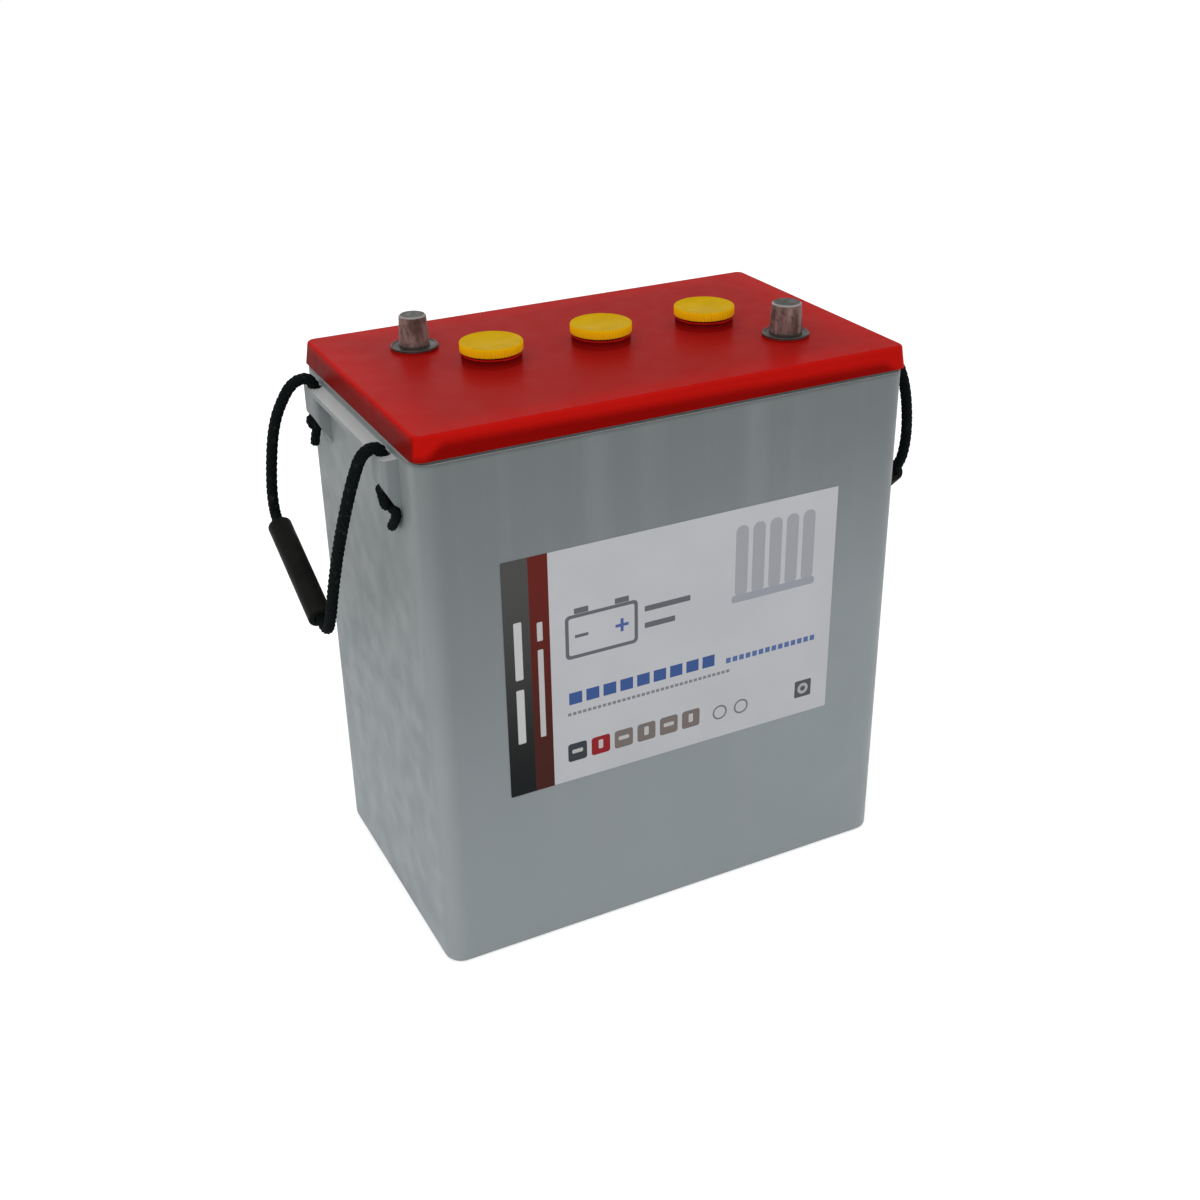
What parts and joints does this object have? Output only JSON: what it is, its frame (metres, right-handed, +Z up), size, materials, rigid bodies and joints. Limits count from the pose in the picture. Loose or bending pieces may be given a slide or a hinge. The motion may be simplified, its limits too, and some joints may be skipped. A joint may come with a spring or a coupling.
{
  "type": "tubular plate battery",
  "caption": "Three-cell lead-acid traction battery in a moulded case with screw vent plugs, tapered terminals and rope handles.",
  "frame": {"origin": "middle of the case's underside, where the battery stands", "axes": "+Z up, +X along the length towards the positive terminal's end, -Y towards the labelled front"},
  "size_m": [0.3814, 0.1866, 0.3593],
  "materials": {
    "case_plastic": "satin, slightly milky polypropylene",
    "lid_plastic": "semi-gloss red polypropylene",
    "label_film": "printed satin film",
    "lead_alloy": "dull cast lead alloy",
    "rope_fibre": "braided black polypropylene rope",
    "grip_plastic": "black plastic tube",
    "tube_fabric": "woven polyester tubes",
    "bar_plastic": "moulded polypropylene",
    "negative_paste": "grey pasted plate",
    "separator_film": "ribbed microporous polyethylene",
    "cap_plastic": "semi-gloss yellow polypropylene",
    "seal_rubber": "matt black rubber"
  },
  "bodies": {
    "case_body": {"case": "case_plastic", "lid": "lid_plastic", "front_label": "label_film", "bushing_negative": "lead_alloy", "bushing_positive": "lead_alloy", "post_negative": "lead_alloy", "post_positive": "lead_alloy", "rope_knots_left": "rope_fibre", "rope_knots_right": "rope_fibre", "intercell_link_1_2": "lead_alloy", "intercell_link_2_3": "lead_alloy", "positive_spines_1": "lead_alloy", "positive_tubes_1": "tube_fabric", "bottom_bars_1": "bar_plastic", "negative_plates_1": "negative_paste", "separators_1": "separator_film", "positive_strap_1": "lead_alloy", "negative_strap_1": "lead_alloy", "plate_guard_1": "bar_plastic", "positive_spines_2": "lead_alloy", "positive_tubes_2": "tube_fabric", "bottom_bars_2": "bar_plastic", "negative_plates_2": "negative_paste", "separators_2": "separator_film", "positive_strap_2": "lead_alloy", "negative_strap_2": "lead_alloy", "plate_guard_2": "bar_plastic", "positive_spines_3": "lead_alloy", "positive_tubes_3": "tube_fabric", "bottom_bars_3": "bar_plastic", "negative_plates_3": "negative_paste", "separators_3": "separator_film", "positive_strap_3": "lead_alloy", "negative_strap_3": "lead_alloy", "plate_guard_3": "bar_plastic"},
    "plug_seal_1": {"vent_seal_1": "seal_rubber"},
    "vent_plug_1": {"vent_cap_1": "cap_plastic", "vent_baffle_1": "cap_plastic"},
    "plug_seal_2": {"vent_seal_2": "seal_rubber"},
    "vent_plug_2": {"vent_cap_2": "cap_plastic", "vent_baffle_2": "cap_plastic"},
    "plug_seal_3": {"vent_seal_3": "seal_rubber"},
    "vent_plug_3": {"vent_cap_3": "cap_plastic", "vent_baffle_3": "cap_plastic"},
    "handle_left": {"rope_left": "rope_fibre", "grip_left": "grip_plastic"},
    "handle_right": {"rope_right": "rope_fibre", "grip_right": "grip_plastic"}
  },
  "joints": [
    {"name": "plug_lift_1", "type": "slide", "parent": "case_body", "child": "plug_seal_1", "axis": [0, 0, 1], "range_m": [0, 0.00605]},
    {"name": "plug_turn_1", "type": "hinge", "parent": "plug_seal_1", "child": "vent_plug_1", "pos_m": [-0.0694, 0, 0.3356], "axis": [0, 0, 1], "range_deg": [0, 540]},
    {"name": "plug_lift_2", "type": "slide", "parent": "case_body", "child": "plug_seal_2", "axis": [0, 0, 1], "range_m": [0, 0.00605]},
    {"name": "plug_turn_2", "type": "hinge", "parent": "plug_seal_2", "child": "vent_plug_2", "pos_m": [0, 0, 0.3356], "axis": [0, 0, 1], "range_deg": [0, 540]},
    {"name": "plug_lift_3", "type": "slide", "parent": "case_body", "child": "plug_seal_3", "axis": [0, 0, 1], "range_m": [0, 0.00605]},
    {"name": "plug_turn_3", "type": "hinge", "parent": "plug_seal_3", "child": "vent_plug_3", "pos_m": [0.0694, 0, 0.3356], "axis": [0, 0, 1], "range_deg": [0, 540]},
    {"name": "handle_left_swing", "type": "hinge", "parent": "case_body", "child": "handle_left", "pos_m": [-0.1566, 0, 0.3222], "axis": [0, 1, 0], "range_deg": [0, 150], "deforming": ["rope_left"]},
    {"name": "handle_right_swing", "type": "hinge", "parent": "case_body", "child": "handle_right", "pos_m": [0.1566, 0, 0.3222], "axis": [0, -1, 0], "range_deg": [0, 150], "deforming": ["rope_right"]}
  ],
  "couplings": [
    {"joint": "plug_lift_1", "follows": "plug_turn_1", "m_per_rad": 0.00063662},
    {"joint": "plug_lift_2", "follows": "plug_turn_2", "m_per_rad": 0.00063662},
    {"joint": "plug_lift_3", "follows": "plug_turn_3", "m_per_rad": 0.00063662}
  ]
}
